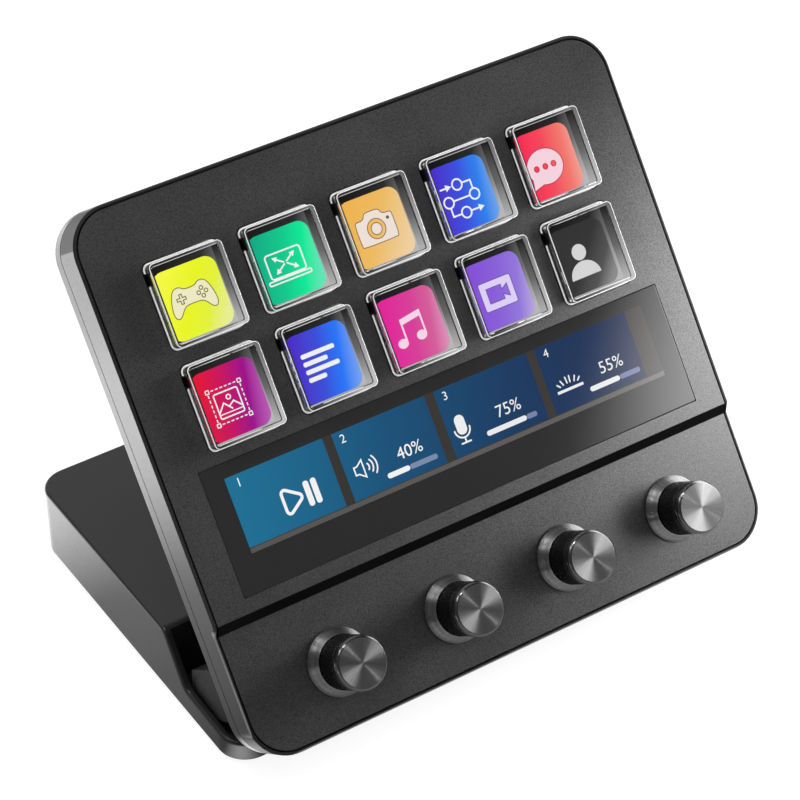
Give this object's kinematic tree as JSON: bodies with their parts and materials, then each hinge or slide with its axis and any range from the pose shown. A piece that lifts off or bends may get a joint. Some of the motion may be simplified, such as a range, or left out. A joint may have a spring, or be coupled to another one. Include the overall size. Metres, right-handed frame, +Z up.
{
  "type": "macro keypad with knobs",
  "caption": "Desk macro keypad: a tilting head with clear picture keys, a touch display strip and push-turn knobs, hinged to a weighted wedge base.",
  "frame": {"origin": "on the desk surface, under the middle of the base, at the rubber pad's underside", "axes": "+Z up, -Y towards the user, +X to the user's right along the hinge axis"},
  "size_m": [0.1404, 0.112, 0.1142],
  "materials": {
    "backlight": "white",
    "black_metal": "black anodised, fine knurl",
    "black_steel": "black oxide",
    "board": "green solder mask",
    "brass": "plain",
    "bright_metal": "spun grey",
    "clear_plastic": "polished clear",
    "face": "fine powder-coated black",
    "glass": "smooth dark cover glass",
    "pad": "matte",
    "ribbon": "amber film",
    "screen": "glossy screen",
    "shell": "fine textured black",
    "silicone": "matte black",
    "steel": "plain"
  },
  "bodies": {
    "base": {"base_shell": "shell", "base_plate": "shell", "rubber_pad": "pad", "ballast": "steel", "base_screws": "black_steel", "ballast_screws": "black_steel", "hinge_bracket_left": "black_steel", "hinge_bracket_right": "black_steel", "bracket_screws": "steel"},
    "head": {"mid_frame": "shell", "face_plate": "face", "rear_cover": "shell", "touch_glass": "glass", "key_mat": "silicone", "light_guides": "clear_plastic", "lcd_panel": "screen", "lcd_backlight": "backlight", "main_board": "board", "usb_socket": "steel", "encoder_board": "board", "screen_ribbon": "ribbon", "link_ribbon": "ribbon", "cover_screws": "black_steel", "board_screws": "steel", "encoder_washers": "steel", "encoder_nuts": "brass", "hinge_shaft_left": "steel", "hinge_shaft_right": "steel", "hinge_cap_left": "shell", "hinge_cap_right": "shell", "encoder_1": "steel", "encoder_2": "steel", "encoder_3": "steel", "encoder_4": "steel"},
    "key_1": {"keycap_1": "clear_plastic"},
    "key_2": {"keycap_2": "clear_plastic"},
    "key_3": {"keycap_3": "clear_plastic"},
    "key_4": {"keycap_4": "clear_plastic"},
    "key_5": {"keycap_5": "clear_plastic"},
    "key_6": {"keycap_6": "clear_plastic"},
    "key_7": {"keycap_7": "clear_plastic"},
    "key_8": {"keycap_8": "clear_plastic"},
    "key_9": {"keycap_9": "clear_plastic"},
    "key_10": {"keycap_10": "clear_plastic"},
    "turn_1": {"rotor_1": "brass"},
    "dial_1": {"spindle_1": "steel", "knob_1": "black_metal", "knob_cap_1": "bright_metal"},
    "turn_2": {"rotor_2": "brass"},
    "dial_2": {"spindle_2": "steel", "knob_2": "black_metal", "knob_cap_2": "bright_metal"},
    "turn_3": {"rotor_3": "brass"},
    "dial_3": {"spindle_3": "steel", "knob_3": "black_metal", "knob_cap_3": "bright_metal"},
    "turn_4": {"rotor_4": "brass"},
    "dial_4": {"spindle_4": "steel", "knob_4": "black_metal", "knob_cap_4": "bright_metal"}
  },
  "joints": [
    {"name": "head_tilt", "type": "hinge", "parent": "base", "child": "head", "pos_m": [0, -0.03045, 0.009], "axis": [1, 0, 0], "range_deg": [-37.5, 6]},
    {"name": "key_1_press", "type": "slide", "parent": "head", "child": "key_1", "axis": [0, 0.7934, -0.6088], "range_m": [0, 0.0008], "stiffness_N_per_m": 300, "springref_m": -0.001},
    {"name": "key_2_press", "type": "slide", "parent": "head", "child": "key_2", "axis": [0, 0.7934, -0.6088], "range_m": [0, 0.0008], "stiffness_N_per_m": 300, "springref_m": -0.001},
    {"name": "key_3_press", "type": "slide", "parent": "head", "child": "key_3", "axis": [0, 0.7934, -0.6088], "range_m": [0, 0.0008], "stiffness_N_per_m": 300, "springref_m": -0.001},
    {"name": "key_4_press", "type": "slide", "parent": "head", "child": "key_4", "axis": [0, 0.7934, -0.6088], "range_m": [0, 0.0008], "stiffness_N_per_m": 300, "springref_m": -0.001},
    {"name": "key_5_press", "type": "slide", "parent": "head", "child": "key_5", "axis": [0, 0.7934, -0.6088], "range_m": [0, 0.0008], "stiffness_N_per_m": 300, "springref_m": -0.001},
    {"name": "key_6_press", "type": "slide", "parent": "head", "child": "key_6", "axis": [0, 0.7934, -0.6088], "range_m": [0, 0.0008], "stiffness_N_per_m": 300, "springref_m": -0.001},
    {"name": "key_7_press", "type": "slide", "parent": "head", "child": "key_7", "axis": [0, 0.7934, -0.6088], "range_m": [0, 0.0008], "stiffness_N_per_m": 300, "springref_m": -0.001},
    {"name": "key_8_press", "type": "slide", "parent": "head", "child": "key_8", "axis": [0, 0.7934, -0.6088], "range_m": [0, 0.0008], "stiffness_N_per_m": 300, "springref_m": -0.001},
    {"name": "key_9_press", "type": "slide", "parent": "head", "child": "key_9", "axis": [0, 0.7934, -0.6088], "range_m": [0, 0.0008], "stiffness_N_per_m": 300, "springref_m": -0.001},
    {"name": "key_10_press", "type": "slide", "parent": "head", "child": "key_10", "axis": [0, 0.7934, -0.6088], "range_m": [0, 0.0008], "stiffness_N_per_m": 300, "springref_m": -0.001},
    {"name": "knob_1_turn", "type": "hinge", "parent": "head", "child": "turn_1", "pos_m": [-0.04487, -0.0528, 0.02521], "axis": [0, -0.7934, 0.6088], "continuous": true},
    {"name": "knob_1_press", "type": "slide", "parent": "turn_1", "child": "dial_1", "axis": [0, 0.7934, -0.6088], "range_m": [0, 0.0003], "stiffness_N_per_m": 1500, "springref_m": -0.0008},
    {"name": "knob_2_turn", "type": "hinge", "parent": "head", "child": "turn_2", "pos_m": [-0.01402, -0.0528, 0.02521], "axis": [0, -0.7934, 0.6088], "continuous": true},
    {"name": "knob_2_press", "type": "slide", "parent": "turn_2", "child": "dial_2", "axis": [0, 0.7934, -0.6088], "range_m": [0, 0.0003], "stiffness_N_per_m": 1500, "springref_m": -0.0008},
    {"name": "knob_3_turn", "type": "hinge", "parent": "head", "child": "turn_3", "pos_m": [0.01682, -0.0528, 0.02521], "axis": [0, -0.7934, 0.6088], "continuous": true},
    {"name": "knob_3_press", "type": "slide", "parent": "turn_3", "child": "dial_3", "axis": [0, 0.7934, -0.6088], "range_m": [0, 0.0003], "stiffness_N_per_m": 1500, "springref_m": -0.0008},
    {"name": "knob_4_turn", "type": "hinge", "parent": "head", "child": "turn_4", "pos_m": [0.04768, -0.0528, 0.02521], "axis": [0, -0.7934, 0.6088], "continuous": true},
    {"name": "knob_4_press", "type": "slide", "parent": "turn_4", "child": "dial_4", "axis": [0, 0.7934, -0.6088], "range_m": [0, 0.0003], "stiffness_N_per_m": 1500, "springref_m": -0.0008}
  ]
}
